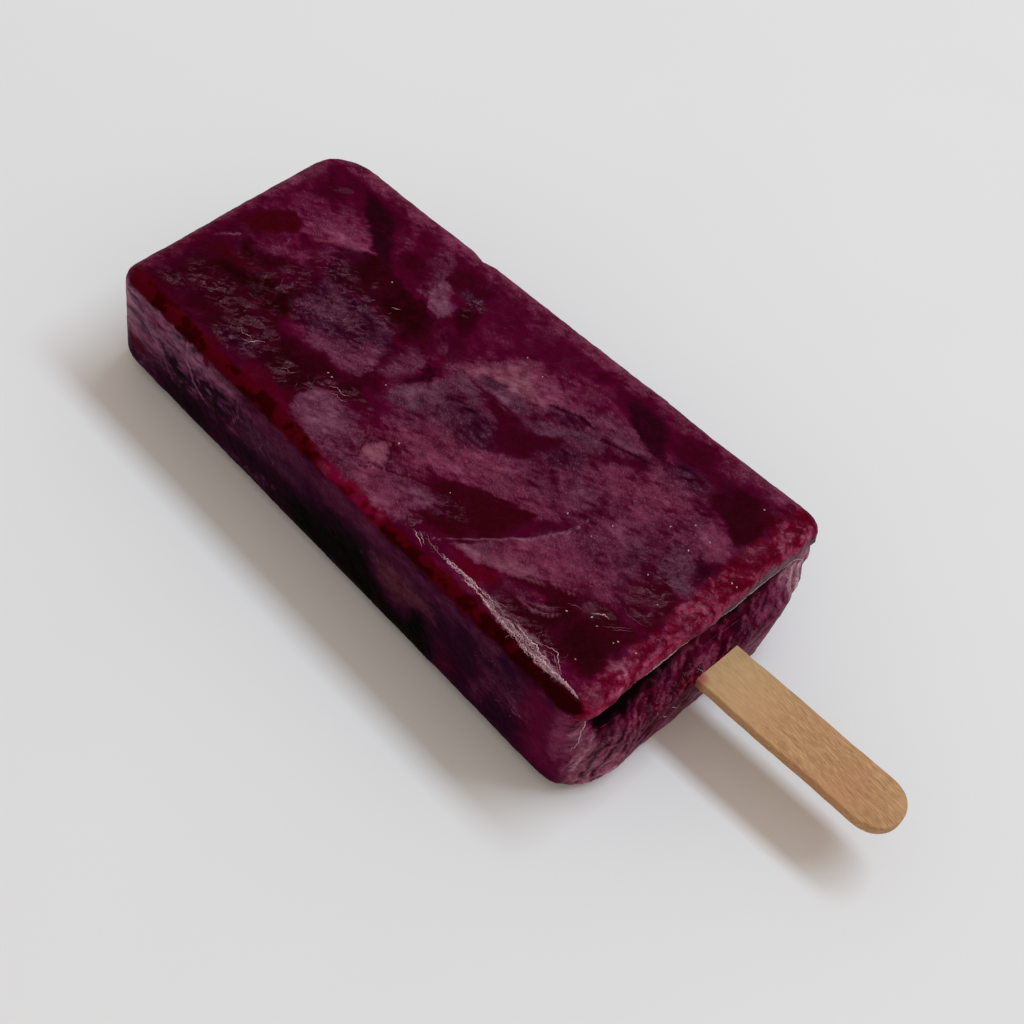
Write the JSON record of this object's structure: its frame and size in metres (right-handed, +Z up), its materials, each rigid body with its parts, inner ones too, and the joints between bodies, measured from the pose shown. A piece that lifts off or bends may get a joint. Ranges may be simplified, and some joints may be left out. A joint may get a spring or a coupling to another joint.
{
  "type": "ice pop",
  "caption": "Dark fruit ice pop: a drafted, round-edged bar of frozen juice on a flat round-ended wooden stick.",
  "frame": {"origin": "centre of the bar's flat underside", "axes": "+X along the bar toward the stick, +Y across the bar, +Z up from the underside"},
  "size_m": [0.1493, 0.0566, 0.0241],
  "materials": {
    "frozen_juice": "frozen dark-fruit juice: translucent, glossy under patches of dry frost",
    "stick_wood": "plain sanded birch"
  },
  "bodies": {
    "root": {"ice_bar": "frozen_juice", "stick": "stick_wood"}
  },
  "joints": []
}
